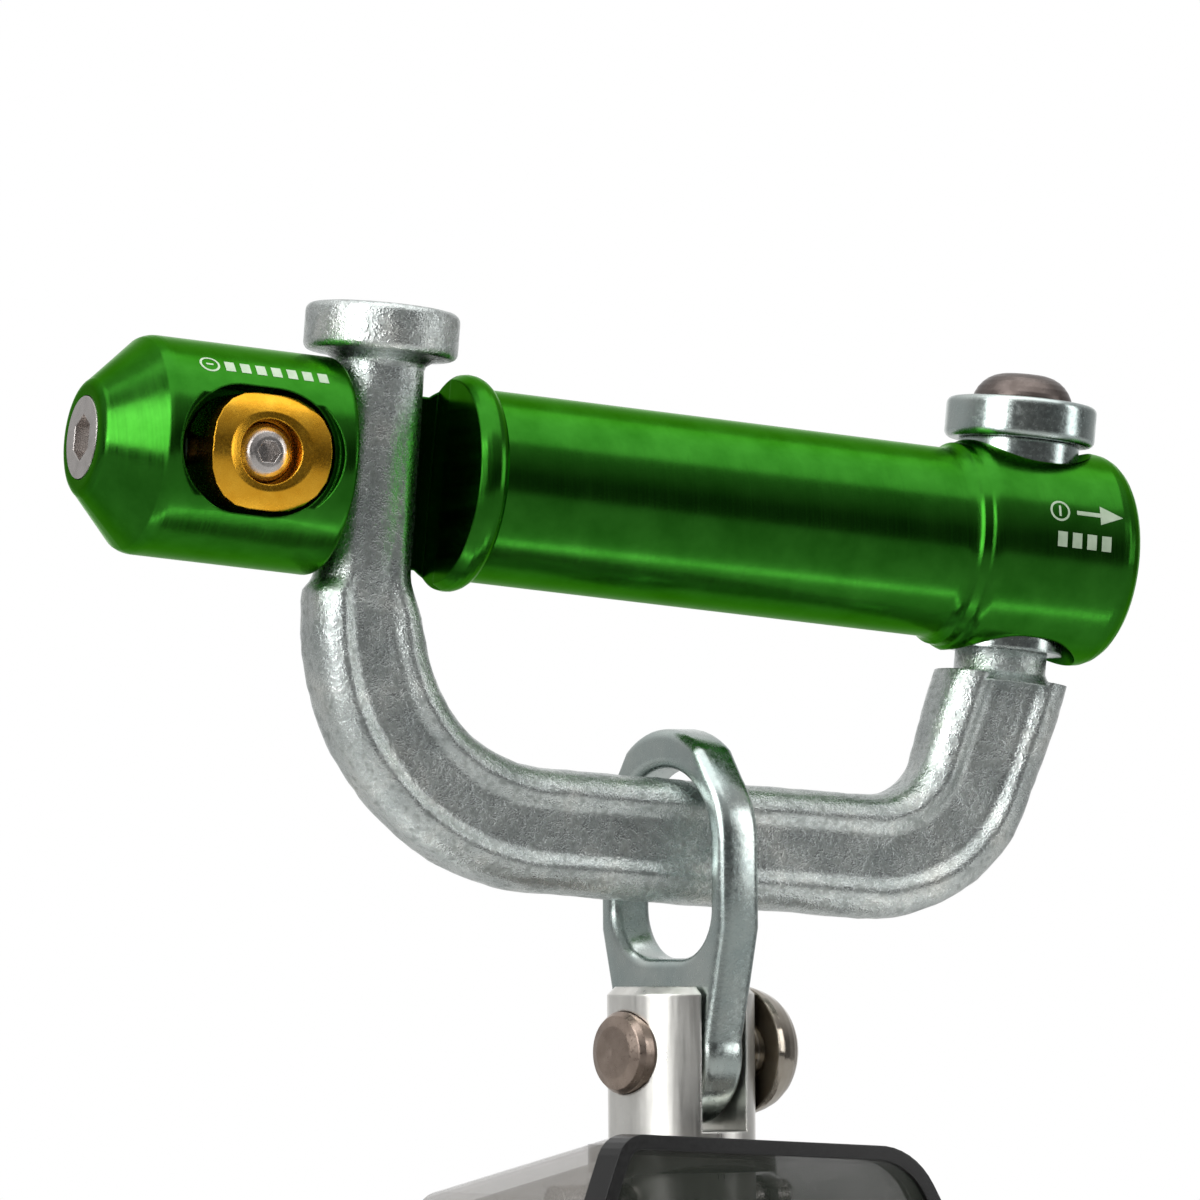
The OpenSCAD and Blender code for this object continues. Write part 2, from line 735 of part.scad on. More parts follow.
module post_grommet() {
  color([0.05, 0.05, 0.05]) carriage() translate([0, 0, -14.6]) difference() {
    cylinder(r = 11.5, h = 3.4);
    translate([0, 0, -1]) cylinder(r = post_r + 0.02, h = 6);
    translate([0, 0, rod_z + 14.6]) rod_x(rod_r + 0.05, -14, 14);
  }
}

crossbar();
nose_screw();
lock_slider();
slider_screw();
lock_bolt();
lock_spring();
end_plug();
bar_spring();
pivot_bush();
pivot_washer();
pivot_rivet();
bow();
link_plate();
link_bush();
clevis();
clevis_pin();
pin_collar();
cross_rod();
rod_rings();
side_plate_front();
side_plate_back();
hanger_bolt();
hanger_nut();
tie_spacers();
tie_bolts();
tie_nuts();
sheave_left();
sheave_right();
sheave_cheeks_left();
sheave_cheeks_right();
bearing_rings_left();
bearing_rings_right();
bearing_balls_left();
bearing_balls_right();
bearing_inner_rings();
axle_bolts();
axle_nuts();
axle_spacers();
guide_bushes();
tub();
front_cover();
rim_gasket();
cover_screws();
post_grommet();
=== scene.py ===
import math
import bpy
import bmesh
from mathutils import Matrix, Vector, noise


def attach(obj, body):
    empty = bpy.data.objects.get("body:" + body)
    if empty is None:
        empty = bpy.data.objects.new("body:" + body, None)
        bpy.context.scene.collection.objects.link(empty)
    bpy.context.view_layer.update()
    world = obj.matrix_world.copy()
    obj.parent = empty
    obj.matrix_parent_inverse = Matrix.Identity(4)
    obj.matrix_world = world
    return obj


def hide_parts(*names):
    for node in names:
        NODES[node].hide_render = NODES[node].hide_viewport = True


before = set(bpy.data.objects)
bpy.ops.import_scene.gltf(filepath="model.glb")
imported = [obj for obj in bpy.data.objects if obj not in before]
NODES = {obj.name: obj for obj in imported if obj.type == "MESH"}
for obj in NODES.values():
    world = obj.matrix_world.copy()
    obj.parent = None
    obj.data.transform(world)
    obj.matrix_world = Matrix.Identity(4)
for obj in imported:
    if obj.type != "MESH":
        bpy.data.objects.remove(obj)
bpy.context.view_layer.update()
SCENE = bpy.context.scene
MM = 0.001

# ---- Shared frame of the part, in millimetres and degrees ----
BAR_TILT = 6.0
YAW = 15.5
DROP = 25.6
LEG_X, LEG_R = -44.9, 5.6
BEND1_R, BEND1_X, BEND1_Z = 24.6, -19.3, -16.3
BEND2_R, BEND2_X, BEND2_Z = 14.6, 24.0, -25.0
LEAN = 18.2
PIVOT_X = 41.0
NECK_R = 5.75
HEAD_R = 13.25
SPAN_X, SPAN_Z = BEND2_X - BEND1_X, BEND2_Z - BEND1_Z
RISE = math.degrees(math.atan2(SPAN_Z, SPAN_X)
                    + math.asin((BEND1_R - BEND2_R) / math.hypot(SPAN_X, SPAN_Z)))
RISE_R = math.radians(RISE)
BAR_Z = BEND1_Z - BEND1_R * math.cos(RISE_R) - (BEND1_X + BEND1_R * math.sin(RISE_R)) * math.tan(RISE_R)
TILT_R = math.radians(BAR_TILT)
PIN = Vector((BAR_Z * math.sin(TILT_R), 0.0, BAR_Z * math.cos(TILT_R) - DROP))

CONNECTOR = Matrix.Scale(MM, 4) @ Matrix.Rotation(TILT_R, 4, "Y")
CARRIAGE = Matrix.Scale(MM, 4) @ Matrix.Translation(PIN) @ Matrix.Rotation(math.radians(YAW), 4, "Z")


# ---- Mesh helpers: all shapes are made in millimetres in a local frame ----
def mesh_object(name, verts, faces, place, smooth_deg=35.0):
    mesh = bpy.data.meshes.new(name)
    mesh.from_pydata([tuple(place @ Vector(v)) for v in verts], [], faces)
    mesh.validate()
    obj = bpy.data.objects.new(name, mesh)
    SCENE.collection.objects.link(obj)
    bm = bmesh.new()
    bm.from_mesh(mesh)
    bmesh.ops.remove_doubles(bm, verts=bm.verts, dist=2e-6)
    bmesh.ops.recalc_face_normals(bm, faces=bm.faces)
    bm.to_mesh(mesh)
    bm.free()
    shade(obj, smooth_deg)
    return obj


def shade(obj, degrees):
    """Smooth shading, with edges sharper than this angle kept sharp."""
    mesh = obj.data
    for poly in mesh.polygons:
        poly.use_smooth = True
    mesh.set_sharp_from_angle(angle=math.radians(degrees))


def ring_skin(rings):
    """Closed skin over a list of rings that all have the same number of points."""
    count = len(rings[0])
    verts = [p for ring in rings for p in ring]
    faces = []
    for i in range(len(rings) - 1):
        for j in range(count):
            k = (j + 1) % count
            faces.append((i * count + j, i * count + k, (i + 1) * count + k, (i + 1) * count + j))
    faces.append(tuple(range(count))[::-1])
    faces.append(tuple(range((len(rings) - 1) * count, len(rings) * count)))
    return verts, faces


# ---- Materials ----
def new_material(name):
    mat = bpy.data.materials.new(name)
    mat.use_nodes = True
    tree = mat.node_tree
    return mat, tree, tree.nodes["Principled BSDF"]


def add(tree, kind, **sets):
    node = tree.nodes.new(kind)
    for key, value in sets.items():
        setattr(node, key, value)
    return node


def noise_of(tree, scale, detail=4.0, rough=0.55, stretch=(1, 1, 1), turn=(0, 0, 0)):
    """Noise factor in object space. Scale is in waves per millimetre."""
    coord = add(tree, "ShaderNodeTexCoord")
    mapping = add(tree, "ShaderNodeMapping")
    mapping.inputs["Scale"].default_value = stretch
    mapping.inputs["Rotation"].default_value = turn
    tex = add(tree, "ShaderNodeTexNoise")
    tex.inputs["Scale"].default_value = scale / MM
    tex.inputs["Detail"].default_value = detail
    tex.inputs["Roughness"].default_value = rough
    tree.links.new(coord.outputs["Object"], mapping.inputs["Vector"])
    tree.links.new(mapping.outputs["Vector"], tex.inputs["Vector"])
    return tex.outputs["Fac"]


def ramp(tree, fac, stops):
    node = add(tree, "ShaderNodeValToRGB")
    elements = node.color_ramp.elements
    while len(elements) < len(stops):
        elements.new(0.5)
    for element, (pos, col) in zip(elements, stops):
        element.position = pos
        element.color = (*col, 1.0)
    tree.links.new(fac, node.inputs["Fac"])
    return node.outputs["Color"]


def remap(tree, fac, lo, hi, out_lo, out_hi):
    node = add(tree, "ShaderNodeMapRange")
    node.inputs["From Min"].default_value = lo
    node.inputs["From Max"].default_value = hi
    node.inputs["To Min"].default_value = out_lo
    node.inputs["To Max"].default_value = out_hi
    tree.links.new(fac, node.inputs["Value"])
    return node.outputs["Result"]


def bump(tree, shader, layers, edge_mm):
    """Bump layers (height, distance in mm, strength) over softly rounded edges."""
    normal = None
    if edge_mm:
        bevel = add(tree, "ShaderNodeBevel", samples=4)
        bevel.inputs["Radius"].default_value = edge_mm * MM
        normal = bevel.outputs["Normal"]
    for height, distance, strength in layers:
        node = add(tree, "ShaderNodeBump")
        node.inputs["Distance"].default_value = distance * MM
        node.inputs["Strength"].default_value = strength
        tree.links.new(height, node.inputs["Height"])
        if normal is not None:
            tree.links.new(normal, node.inputs["Normal"])
        normal = node.outputs["Normal"]
    if normal is not None:
        tree.links.new(normal, shader.inputs["Normal"])


def metal(name, dark, light, rough=(0.2, 0.35), scale=0.25, grain=3.0, edge_mm=0.25,
          grain_mm=0.02, stretch=(1, 1, 1), metallic=1.0):
    """Metal with cloudy colour, uneven polish and a fine or brushed grain."""
    mat, tree, shader = new_material(name)
    cloud = noise_of(tree, scale, 5.0, 0.6)
    tree.links.new(ramp(tree, cloud, [(0.3, dark), (0.7, light)]), shader.inputs["Base Color"])
    fine = noise_of(tree, grain, 3.0, 0.6, stretch)
    tree.links.new(remap(tree, fine, 0.3, 0.7, *rough), shader.inputs["Roughness"])
    shader.inputs["Metallic"].default_value = metallic
    bump(tree, shader, [(fine, grain_mm, 0.35)], edge_mm)
    return mat


def plastic(name, dark, light, rough=(0.3, 0.5), grain=2.0, grain_mm=0.02):
    """Opaque moulded plastic, rubber or powder coat."""
    return metal(name, dark, light, rough, 0.3, grain, 0.2, grain_mm, metallic=0.0)


def smoked(name, tint, rough, alpha):
    """Thin tinted clear plastic: partly see-through, with a glossy skin and faint moulding flow."""
    mat, tree, shader = new_material(name)
    cloud = noise_of(tree, 0.12, 3.0, 0.5)
    dark = tuple(c * 0.8 for c in tint)
    tree.links.new(ramp(tree, cloud, [(0.3, dark), (0.7, tint)]), shader.inputs["Base Color"])
    fine = noise_of(tree, 1.5, 3.0, 0.6)
    tree.links.new(remap(tree, fine, 0.3, 0.7, rough, rough + 0.08), shader.inputs["Roughness"])
    tree.links.new(remap(tree, cloud, 0.3, 0.7, alpha * 0.92, alpha * 1.06), shader.inputs["Alpha"])
    shader.inputs["IOR"].default_value = 1.5
    shader.inputs["Coat Weight"].default_value = 0.6
    shader.inputs["Coat Roughness"].default_value = 0.04
    bump(tree, shader, [(cloud, 0.15, 0.3), (fine, 0.01, 0.3)], 0.2)
    return mat


def forged_zinc():
    """Zinc-plated forging: bright pebbled skin with a bluish cast; the low spots of the pebble bump are
    darkened as painted shade.
    """
    mat, tree, shader = new_material("zinc_forged")
    cloud = noise_of(tree, 0.16, 4.0, 0.6)
    pebble = noise_of(tree, 1.1, 5.0, 0.62)
    spark = noise_of(tree, 4.5, 2.0, 0.5)
    tint = ramp(tree, cloud, [(0.25, (0.42, 0.46, 0.455)), (0.55, (0.60, 0.64, 0.625)),
                              (0.8, (0.78, 0.79, 0.75))])
    # Painted shade: the base colour is darkened where the pebble bump is low, as shade falling in the
    # pits.
    painted_pit_shade = ramp(tree, pebble, [(0.30, (0.50, 0.51, 0.49)), (0.50, (1, 1, 1))])
    mix = add(tree, "ShaderNodeMix", data_type="RGBA", blend_type="MULTIPLY")
    mix.inputs["Factor"].default_value = 0.75
    tree.links.new(tint, mix.inputs["A"])
    tree.links.new(painted_pit_shade, mix.inputs["B"])
    tree.links.new(mix.outputs["Result"], shader.inputs["Base Color"])
    tree.links.new(remap(tree, pebble, 0.3, 0.7, 0.36, 0.18), shader.inputs["Roughness"])
    shader.inputs["Metallic"].default_value = 1.0
    bump(tree, shader, [(pebble, 0.22, 0.6), (spark, 0.10, 0.8)], 0.3)
    return mat


def anodised_green():
    """Green anodised bar: deep glossy green with faint turning lines round the axis."""
    mat, tree, shader = new_material("green_anodised")
    cloud = noise_of(tree, 0.2, 4.0, 0.6)
    lines = noise_of(tree, 1.0, 2.0, 0.5, (9.0, 0.02, 0.02), (0, TILT_R, 0))
    dust = noise_of(tree, 5.0, 2.0, 0.5)
    tree.links.new(ramp(tree, cloud, [(0.3, (0.016, 0.115, 0.008)), (0.7, (0.028, 0.165, 0.015))]),
                   shader.inputs["Base Color"])
    tree.links.new(remap(tree, lines, 0.3, 0.7, 0.17, 0.27), shader.inputs["Roughness"])
    shader.inputs["Metallic"].default_value = 1.0
    shader.inputs["Specular Tint"].default_value = (0.55, 0.9, 0.45, 1)
    bump(tree, shader, [(lines, 0.02, 0.12), (dust, 0.01, 0.25)], 0.35)
    return mat


MAT = {
    "green": anodised_green(),
    "gold": metal("gold_anodised", (0.72, 0.34, 0.02), (0.86, 0.46, 0.04), (0.2, 0.3), 0.4),
    # Lock bolt: dark red painted shade, standing in for the gold anodised bolt seen in shadow.
    "red": metal("red_oxide", (0.12, 0.025, 0.015), (0.2, 0.05, 0.03), (0.35, 0.5)),
    "forged": forged_zinc(),
    "zinc": metal("zinc_plate", (0.40, 0.48, 0.47), (0.58, 0.63, 0.60), (0.16, 0.3),
                  scale=0.12, grain=1.6, edge_mm=0.5, grain_mm=0.03),
    "bright": metal("bright_steel", (0.50, 0.47, 0.45), (0.66, 0.62, 0.60), (0.2, 0.34), 0.5),
    "dark": metal("dark_steel", (0.10, 0.082, 0.074), (0.17, 0.142, 0.13), (0.26, 0.38), 0.5),
    "dome": metal("dome_steel", (0.34, 0.30, 0.25), (0.48, 0.44, 0.38), (0.08, 0.16),
                  scale=0.3, grain=2.0, edge_mm=0.4),
    "brown": metal("brown_steel", (0.30, 0.235, 0.195), (0.44, 0.355, 0.30), (0.25, 0.4), 0.4),
    "spring": metal("spring_steel", (0.30, 0.30, 0.31), (0.44, 0.44, 0.45), (0.25, 0.4)),
    "clevis": metal("clevis_alloy", (0.78, 0.77, 0.73), (0.90, 0.89, 0.85), (0.26, 0.42),
                    scale=0.25, grain=1.2, edge_mm=0.4, stretch=(1, 1, 0.06)),
    "bronze": metal("bronze", (0.36, 0.24, 0.10), (0.48, 0.33, 0.15), (0.3, 0.45)),
    "sheave": metal("sheave_alloy", (0.62, 0.63, 0.63), (0.75, 0.76, 0.76), (0.2, 0.33)),
    "powder": plastic("black_powder", (0.006, 0.006, 0.007), (0.012, 0.012, 0.013),
                      (0.35, 0.5), 2.5, 0.06),
    "shell": smoked("smoked_shell", (0.30, 0.28, 0.255), 0.12, 0.5),
    "cover": smoked("clear_cover", (0.05, 0.058, 0.045), 0.05, 0.5),
    "rubber": plastic("black_rubber", (0.002, 0.002, 0.002), (0.005, 0.005, 0.005),
                      (0.16, 0.26), 2.0, 0.005),
    "mark": metal("etched_mark", (0.36, 0.48, 0.33), (0.50, 0.60, 0.46), (0.4, 0.5),
                  scale=0.5, edge_mm=0, metallic=0.35),
    "nylon": plastic("black_nylon", (0.015, 0.015, 0.015), (0.03, 0.03, 0.03), (0.4, 0.55)),
}

FINISH = {
    "crossbar": "green", "nose_screw": "bright", "lock_slider": "gold", "slider_screw": "bright",
    "lock_bolt": "red", "lock_spring": "spring", "end_plug": "nylon", "bar_spring": "spring",
    "pivot_bush": "zinc", "pivot_washer": "zinc", "pivot_rivet": "dark", "bow": "forged",
    "link_plate": "zinc", "link_bush": "bronze", "clevis": "clevis", "clevis_pin": "dome",
    "pin_collar": "brown", "cross_rod": "bright", "rod_rings": "rubber",
    "side_plate_front": "powder", "side_plate_back": "powder", "hanger_bolt": "bright",
    "hanger_nut": "bright", "tie_spacers": "sheave", "tie_bolts": "bright", "tie_nuts": "bright",
    "sheave_left": "sheave", "sheave_right": "sheave", "sheave_cheeks_left": "sheave",
    "sheave_cheeks_right": "sheave", "bearing_rings_left": "dark",
    "bearing_rings_right": "dark", "bearing_balls_left": "bright", "bearing_balls_right": "bright",
    "bearing_inner_rings": "bright", "axle_bolts": "bright", "axle_nuts": "bright",
    "axle_spacers": "sheave", "guide_bushes": "nylon", "tub": "shell", "front_cover": "cover",
    "rim_gasket": "rubber", "cover_screws": "bright", "post_grommet": "rubber",
}
NODE_SHARP_DEG = 32.0
for node_name, finish in FINISH.items():
    node = NODES[node_name]
    node.data.materials.clear()
    node.data.materials.append(MAT[finish])
    shade(node, NODE_SHARP_DEG)


# ---- Bow: a forged bar swept along the leg, two bends and the leaning leg ----
# Half widths are in the bow's plane and half thicknesses across it. A ring's power sets how square
# it is (2 is an ellipse), and its channel is the depth of the groove on each face.
LEG_TOP_Z, LEG_FOOT_Z = 13.0, -12.0
LEG_HEIGHTS = (LEG_TOP_Z, 10, 6, 2, -2, -6, -10, LEG_FOOT_Z)
LEG_CHANNEL_TOP, LEG_CHANNEL_FOOT = 0.1, 0.6
FLARE_Z = -12.4
FLARE_LEFT, FLARE_RIGHT = 1.25, 1.9
FLARE_START = 0.3
BEND_SHIFT = 0.5
BAR_HALF_W, BAR_HALF_T = 7.7, 5.8
BAR_CHANNEL, BAR_CHANNEL_DIP = 1.45, 0.2
LEAN_TOP_X, LEAN_TOP_Z = PIVOT_X + 0.3, -15.8
CHANNEL_IN, CHANNEL_OUT = 0.30, 0.62
BOW_POINTS = 120
SKIN_COARSE, SKIN_FINE = (0.16, 0.2), (0.55, 0.12)


def ease(f):
    """Smooth rise from 0 to 1."""
    return f * f * (3 - 2 * f)


def tangent_point(bend_x, bend_z, bend_r):
    """Where the bottom bar leaves a bend."""
    return bend_x + bend_r * math.sin(RISE_R), bend_z - bend_r * math.cos(RISE_R)


def bow_path():
    """Steps down the bow: x, z, direction in degrees from +X, half width, half thickness,
    power and channel."""
    steps = []
    leg_len = LEG_TOP_Z - LEG_FOOT_Z
    for z in LEG_HEIGHTS:
        widen = FLARE_RIGHT * FLARE_START * (LEG_TOP_Z - z) / leg_len
        channel = LEG_CHANNEL_TOP + (LEG_CHANNEL_FOOT - LEG_CHANNEL_TOP) * (LEG_TOP_Z - z) / leg_len
        steps.append((LEG_X + widen / 2, z, -90, LEG_R + widen / 2, LEG_R, 2.2, channel))
    for i in range(8):
        f = (i + 1) / 8
        s = ease(f)
        left = LEG_X - LEG_R - FLARE_LEFT * min(1.0, 1.5 * s)
        right = LEG_X + LEG_R + FLARE_RIGHT * (FLARE_START + (1 - FLARE_START) * f)
        steps.append(((left + right) / 2, FLARE_Z + f * (BEND1_Z - FLARE_Z), -90, (right - left) / 2,
                      LEG_R + (BAR_HALF_T - LEG_R) * s, 2.2 + 0.4 * s, LEG_CHANNEL_FOOT * (1 + f)))
    sweep = 90 + RISE
    for i in range(1, 41):
        f = i / 40
        ang = math.radians(180 + sweep * f)
        shift = BEND_SHIFT * max(0.0, 1 - 3 * f) ** 2
        reach = BEND1_R + shift
        steps.append((BEND1_X + reach * math.cos(ang), BEND1_Z + reach * math.sin(ang), -90 + sweep * f,
                      BAR_HALF_W - shift, BAR_HALF_T, 2.6 + 0.2 * f, 1.2 + 0.25 * f))
    x0, z0 = tangent_point(BEND1_X, BEND1_Z, BEND1_R)
    x1, z1 = tangent_point(BEND2_X, BEND2_Z, BEND2_R)
    for i in range(1, 33):
        f = i / 32
        steps.append((x0 + (x1 - x0) * f, z0 + (z1 - z0) * f, RISE, BAR_HALF_W, BAR_HALF_T, 2.8,
                      BAR_CHANNEL - BAR_CHANNEL_DIP * math.sin(math.pi * f)))
    sweep = 90 - LEAN - RISE
    for i in range(1, 31):
        f = i / 30
        ang = math.radians(270 + RISE + sweep * f)
        steps.append((BEND2_X + BEND2_R * math.cos(ang), BEND2_Z + BEND2_R * math.sin(ang),
                      RISE + sweep * f, BAR_HALF_W + 0.2 * f, BAR_HALF_T, 2.8, BAR_CHANNEL + 0.1 * f))
    x0, z0 = steps[-1][0], steps[-1][1]
    for i in range(1, 13):
        f = i / 12
        steps.append((x0 + (LEAN_TOP_X - x0) * f, z0 + (LEAN_TOP_Z - z0) * f,
                      90 - LEAN * (1 - 0.85 * f * f), BAR_HALF_W + 0.2 + 0.5 * f, BAR_HALF_T + 0.5 * f,
                      2.8 - 0.2 * f, BAR_CHANNEL + 0.05))
    return steps


def bow_ring(step):
    """One section of the bow, with a groove on each face and a slightly uneven forged skin."""
    x, z, heading, w, t, power, channel = step
    h = math.radians(heading)
    side = Vector((-math.sin(h), 0, math.cos(h)))
    ring = []
    for j in range(BOW_POINTS):
        ang = 2 * math.pi * j / BOW_POINTS
        c, s = math.cos(ang), math.sin(ang)
        n = w * math.copysign(abs(c) ** (2 / power), c)
        y = t * math.copysign(abs(s) ** (2 / power), s)
        f = min(1.0, max(0.0, (CHANNEL_OUT - abs(n) / w) / (CHANNEL_OUT - CHANNEL_IN)))
        y -= math.copysign(channel * ease(f), s) * min(1.0, 2 * abs(s))
        p = Vector((x, y, z)) + side * n
        skin = sum(noise.noise(p * wave) * height for wave, height in (SKIN_COARSE, SKIN_FINE))
        out = (side * n * (1 / max(w, 1)) + Vector((0, y / max(t, 1), 0))).normalized()
        ring.append(p + out * (skin * min(1.0, channel * 1.4 + 0.15) - 0.12))
    return ring


verts, faces = ring_skin([bow_ring(s) for s in bow_path()])
bow_bar = mesh_object("bow_forging", verts, faces, CONNECTOR, 50.0)
bow_bar.data.materials.append(MAT["forged"])


REVOLVE_POINTS = 96


def revolve(name, profile, place, material, wobble=0.0):
    """Turned piece about local +Z from (radius, height) points."""
    rings = []
    for r, z in profile:
        ring = []
        for j in range(REVOLVE_POINTS):
            ang = 2 * math.pi * j / REVOLVE_POINTS
            p = Vector((r * math.cos(ang), r * math.sin(ang), z))
            if wobble:
                p += Vector((p.x, p.y, 0)).normalized() * noise.noise(p * 0.3) * wobble
            ring.append(p)
        rings.append(ring)
    verts, faces = ring_skin(rings)
    obj = mesh_object(name, verts, faces, place)
    obj.data.materials.append(MAT[material])
    return obj


def rounded(cx, cy, r, a0, a1, n=6):
    """Points on an arc from angle a0 to a1."""
    return [(cx + r * math.cos(math.radians(a0 + (a1 - a0) * i / n)),
             cy + r * math.sin(math.radians(a0 + (a1 - a0) * i / n))) for i in range(n + 1)]


leg_place = CONNECTOR @ Matrix.Translation((LEG_X, 0, 0))
stop_head = revolve("bow_stop_head",
                    [(5.3, 9.0), (5.4, 12.4), (5.7, 13.4), (6.6, 14.0), (8.0, 14.25)]
                    + rounded(8.5, 15.2, 0.9, -80, 0) + rounded(8.3, 18.9, 1.1, 0, 85)
                    + [(4.0, 20.1), (0.05, 20.15)],
                    leg_place, "forged", wobble=0.12)
pivot_place = CONNECTOR @ Matrix.Translation((PIVOT_X, 0, 0))
neck = revolve("bow_neck", [(NECK_R + 1.2, -16.6), (NECK_R + 0.25, -15.6), (NECK_R - 0.05, -15.0),
                            (NECK_R - 0.05, 18.4), (3.2, 18.7), (0.05, 18.7)],
               pivot_place, "forged")
for piece in (bow_bar, stop_head, neck):
    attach(piece, "bow")
    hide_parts("bow")


# ---- Link plate: flat plate with a pierced eye and rounded edges ----
EYE_R, EYE_WALL, EYE_TOP, EYE_LOW, TAIL_R, LINK_T = 9.0, 3.2, 4.8, 11.4, 9.0, 6.0
CROWN_R, EYE_CORNER_R, LINK_BORE_R, WAIST_Z = 11.2, 6.2, 5.5, 15
LINK_EDGE = 1.3
half = EYE_R + EYE_WALL
corner = EYE_R - EYE_CORNER_R
outer = (rounded(0, DROP, half, 0, 40, 10)
         + rounded(0, DROP + EYE_R + EYE_TOP - CROWN_R, CROWN_R, 50, 130, 24)
         + rounded(0, DROP, half, 140, 180, 10)
         + [(-half, WAIST_Z)] + rounded(0, 0, TAIL_R, 172, 368, 48) + [(half, WAIST_Z)])
inner = (rounded(0, DROP, EYE_R, 0, 180, 40)
         + rounded(-corner, EYE_LOW + EYE_CORNER_R, EYE_CORNER_R, 180, 270, 14)
         + rounded(corner, EYE_LOW + EYE_CORNER_R, EYE_CORNER_R, 270, 360, 14))
bore = rounded(0, 0, LINK_BORE_R, 0, 354, 59)


def plate_from_outlines(name, outlines, thickness, edge, place, material):
    """Flat plate in the local YZ plane with rounded edges all round."""
    curve = bpy.data.curves.new(name, "CURVE")
    curve.dimensions = "2D"
    curve.fill_mode = "BOTH"
    for points in outlines:
        spline = curve.splines.new("POLY")
        spline.points.add(len(points) - 1)
        for sp, (y, z) in zip(spline.points, points):
            sp.co = (y, z, 0, 1)
        spline.use_cyclic_u = True
    curve.extrude = thickness / 2 - edge
    curve.bevel_depth = edge
    curve.bevel_resolution = 4
    curve.offset = -edge
    holder = bpy.data.objects.new(name, curve)
    SCENE.collection.objects.link(holder)
    bpy.context.view_layer.update()
    graph = bpy.context.evaluated_depsgraph_get()
    mesh = bpy.data.meshes.new_from_object(holder.evaluated_get(graph))
    bpy.data.objects.remove(holder)
    stand = Matrix(((0, 0, 1, 0), (1, 0, 0, 0), (0, 1, 0, 0), (0, 0, 0, 1)))
    mesh.transform(place @ stand)
    obj = bpy.data.objects.new(name, mesh)
    SCENE.collection.objects.link(obj)
    bm = bmesh.new()
    bm.from_mesh(mesh)
    bmesh.ops.remove_doubles(bm, verts=bm.verts, dist=3e-6)
    bmesh.ops.recalc_face_normals(bm, faces=bm.faces)
    bm.to_mesh(mesh)
    bm.free()
    shade(obj, 30.0)
    obj.data.materials.clear()
    obj.data.materials.append(MAT[material])
    return obj


link = plate_from_outlines("link_forging", [outer, inner, bore], LINK_T, LINK_EDGE, CARRIAGE, "zinc")
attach(link, "link")
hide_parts("link_plate")


# ---- Etched marks on the heads: an arrow, rings and dashes, with no lettering ----
MARK_R = HEAD_R + 0.02


def mark_point(x, angle, along, up):
    """Point on the head, in mm from (x, degrees above -Y)."""
    turn = math.radians(angle) + up / MARK_R
    return x + along, -MARK_R * math.cos(turn), MARK_R * math.sin(turn)


def mark_object(name, verts, faces):
    mesh = bpy.data.meshes.new(name)
    mesh.from_pydata([tuple(CONNECTOR @ Vector(v)) for v in verts], [], faces)
    obj = bpy.data.objects.new(name, mesh)
    SCENE.collection.objects.link(obj)
    mesh.materials.append(MAT["mark"])
    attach(obj, "crossbar")


def etched(name, x, angle, rows):
    """Thin mark wrapped round a head. Rows: (up, from, to) in mm."""
    verts = [mark_point(x, angle, along, up) for up, start, end in rows for along in (start, end)]
    faces = [(2 * i, 2 * i + 1, 2 * i + 3, 2 * i + 2) for i in range(len(rows) - 1)]
    mark_object(name, verts, faces)


def dash(name, x, angle, length, height, steps=8):
    rows = [(height * (i / steps - 0.5), -length / 2, length / 2) for i in range(steps + 1)]
    etched(name, x, angle, rows)


def ring_mark(name, x, angle, radius, line, count=24):
    """Ring as short strips, so that it follows the round head."""
    verts, faces = [], []
    for i in range(count):
        around = 2 * math.pi * i / count
        for rad in (radius, radius - line):
            verts.append(mark_point(x, angle, rad * math.cos(around), rad * math.sin(around)))
        k = (i + 1) % count
        faces.append((2 * i, 2 * k, 2 * k + 1, 2 * i + 1))
    mark_object(name, verts, faces)


RIGHT_X, RIGHT_DEG, RIGHT_DASH_DEG = 41.6, 20.5, 5.0
LEFT_X, LEFT_DEG = -70.0, 47.5
RING_LINE, DASH_PITCH = 0.28, 2.0
ARROW_HALF, ARROW_TAIL, ARROW_TIP = 1.25, -1.5, 1.6
ring_mark("mark_ring_right", RIGHT_X, RIGHT_DEG, 1.35, RING_LINE)
dash("mark_ring_dot", RIGHT_X, RIGHT_DEG, 0.3, 1.4)
dash("mark_arrow_shaft", RIGHT_X + 4.0, RIGHT_DEG, 3.4, 0.55)
etched("mark_arrow_head", RIGHT_X + 7.0, RIGHT_DEG,
       [(ARROW_HALF * (i / 6 - 1), ARROW_TAIL, ARROW_TIP - (ARROW_TIP - ARROW_TAIL) * abs(i / 6 - 1))
        for i in range(13)])
for i in range(4):
    dash(f"mark_dash_right_{i}", RIGHT_X + 0.3 + DASH_PITCH * i, RIGHT_DASH_DEG, 1.3, 1.9)
ring_mark("mark_ring_left", LEFT_X, LEFT_DEG, 1.3, RING_LINE)
dash("mark_ring_left_dot", LEFT_X, LEFT_DEG, 0.9, 0.3)
for i in range(7):
    dash(f"mark_dash_left_{i}", LEFT_X + 2.6 + DASH_PITCH * i, LEFT_DEG, 1.25, 1.7)


# ---- Floor, camera and light ----
FLOOR_Z, FLOOR_HALF = -1.0, 6.0
bm = bmesh.new()
bmesh.ops.create_grid(bm, x_segments=1, y_segments=1, size=FLOOR_HALF)
floor_mesh = bpy.data.meshes.new("floor")
bm.to_mesh(floor_mesh)
bm.free()
floor = bpy.data.objects.new("floor", floor_mesh)
SCENE.collection.objects.link(floor)
floor.location.z = FLOOR_Z
floor_mat, floor_tree, floor_shader = new_material("floor")
tone = noise_of(floor_tree, 0.004, 3.0)
floor_tree.links.new(ramp(floor_tree, tone, [(0.3, (0.88, 0.88, 0.87)), (0.7, (0.91, 0.91, 0.90))]),
                     floor_shader.inputs["Base Color"])
floor_shader.inputs["Roughness"].default_value = 0.9
floor_mesh.materials.append(floor_mat)

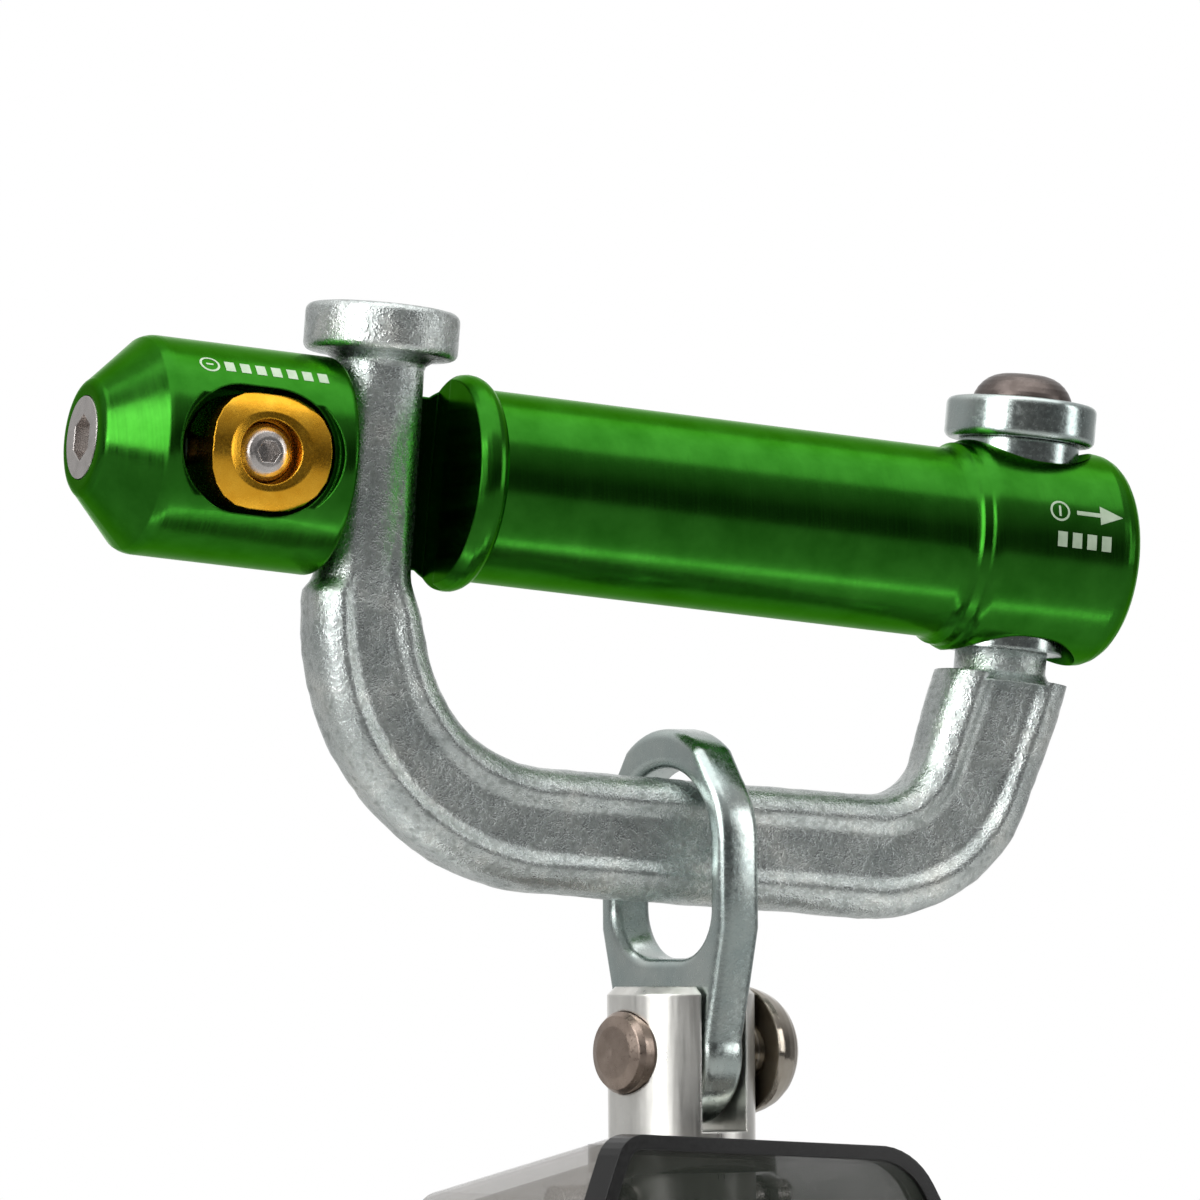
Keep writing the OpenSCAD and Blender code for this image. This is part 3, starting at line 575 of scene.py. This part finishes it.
AIM = Vector((-14.47, 0.0, -10.57)) * MM
CAM_AZ, CAM_EL, CAM_ROLL = -23.1, -1.85, -0.5
CAM_DIST, CAM_SCALE = 1.3, 8203.0
FRAME_PX, SENSOR_MM = 1200.0, 36.0


def direction(azimuth, elevation):
    """Unit vector away from the object: azimuth 0 is -Y and 90 is +X."""
    a, e = math.radians(azimuth), math.radians(elevation)
    return Vector((math.sin(a) * math.cos(e), -math.cos(a) * math.cos(e), math.sin(e)))


back = direction(CAM_AZ, CAM_EL)
cam_data = bpy.data.cameras.new("camera")
cam = bpy.data.objects.new("camera", cam_data)
SCENE.collection.objects.link(cam)
cam.location = AIM + back * CAM_DIST
cam.rotation_mode = "QUATERNION"
roll = Matrix.Rotation(math.radians(CAM_ROLL), 3, "Z").to_quaternion()
cam.rotation_quaternion = (-back).to_track_quat("-Z", "Y") @ roll
cam_data.sensor_width = SENSOR_MM
cam_data.lens = SENSOR_MM * CAM_SCALE * CAM_DIST / FRAME_PX
cam_data.clip_start, cam_data.clip_end = 0.02, 20.0
SCENE.camera = cam


def area_light(name, azimuth, elevation, distance, size, power):
    where = direction(azimuth, elevation)
    data = bpy.data.lights.new(name, "AREA")
    data.shape = "RECTANGLE"
    data.size, data.size_y = size
    data.energy = power
    obj = bpy.data.objects.new(name, data)
    SCENE.collection.objects.link(obj)
    obj.location = where * distance
    obj.rotation_mode = "QUATERNION"
    obj.rotation_quaternion = where.to_track_quat("Z", "Y")
    obj.visible_camera = False


# name, azimuth, elevation, distance in m, size in m, power in W
area_light("top", 0, 82, 0.8, (1.3, 0.9), 5.0)
area_light("key", -62, 22, 0.8, (0.45, 0.6), 4.6)
area_light("right", 62, 10, 0.9, (0.25, 0.5), 1.2)
area_light("side", -55, -2, 0.6, (0.10, 0.16), 0.25)
area_light("under", -20, -76, 0.5, (0.8, 0.05), 0.4)

# World: soft grey room, darker at eye level on the -Y side, white patch behind the object
WHITE_WAY = -back
PATCH_EDGE, PATCH_FULL = 0.86, 0.97
FRONT_LEVEL, BACK_LEVEL, TOP_LEVEL, PATCH_LEVEL = 0.075, 0.45, 0.6, 1.0
world = bpy.data.worlds.new("world")
SCENE.world = world
world.use_nodes = True
tree = world.node_tree
coord = add(tree, "ShaderNodeTexCoord")
split = add(tree, "ShaderNodeSeparateXYZ")
tree.links.new(coord.outputs["Generated"], split.inputs["Vector"])
facing = add(tree, "ShaderNodeVectorMath", operation="DOT_PRODUCT")
facing.inputs[1].default_value = WHITE_WAY
tree.links.new(coord.outputs["Generated"], facing.inputs[0])
patch = remap(tree, facing.outputs["Value"], PATCH_EDGE, PATCH_FULL, 0.0, 1.0)
side = remap(tree, split.outputs["Y"], -0.2, 0.6, FRONT_LEVEL, BACK_LEVEL)
above = remap(tree, split.outputs["Z"], 0.2, 0.95, 0.0, TOP_LEVEL)
room = add(tree, "ShaderNodeMath", operation="ADD")
tree.links.new(side, room.inputs[0])
tree.links.new(above, room.inputs[1])
level = add(tree, "ShaderNodeMix", data_type="FLOAT")
tree.links.new(patch, level.inputs["Factor"])
tree.links.new(room.outputs["Value"], level.inputs["A"])
level.inputs["B"].default_value = PATCH_LEVEL
background = tree.nodes["Background"]
background.inputs["Color"].default_value = (1, 1, 1, 1)
tree.links.new(level.outputs["Result"], background.inputs["Strength"])

SCENE.view_settings.view_transform = "Standard"
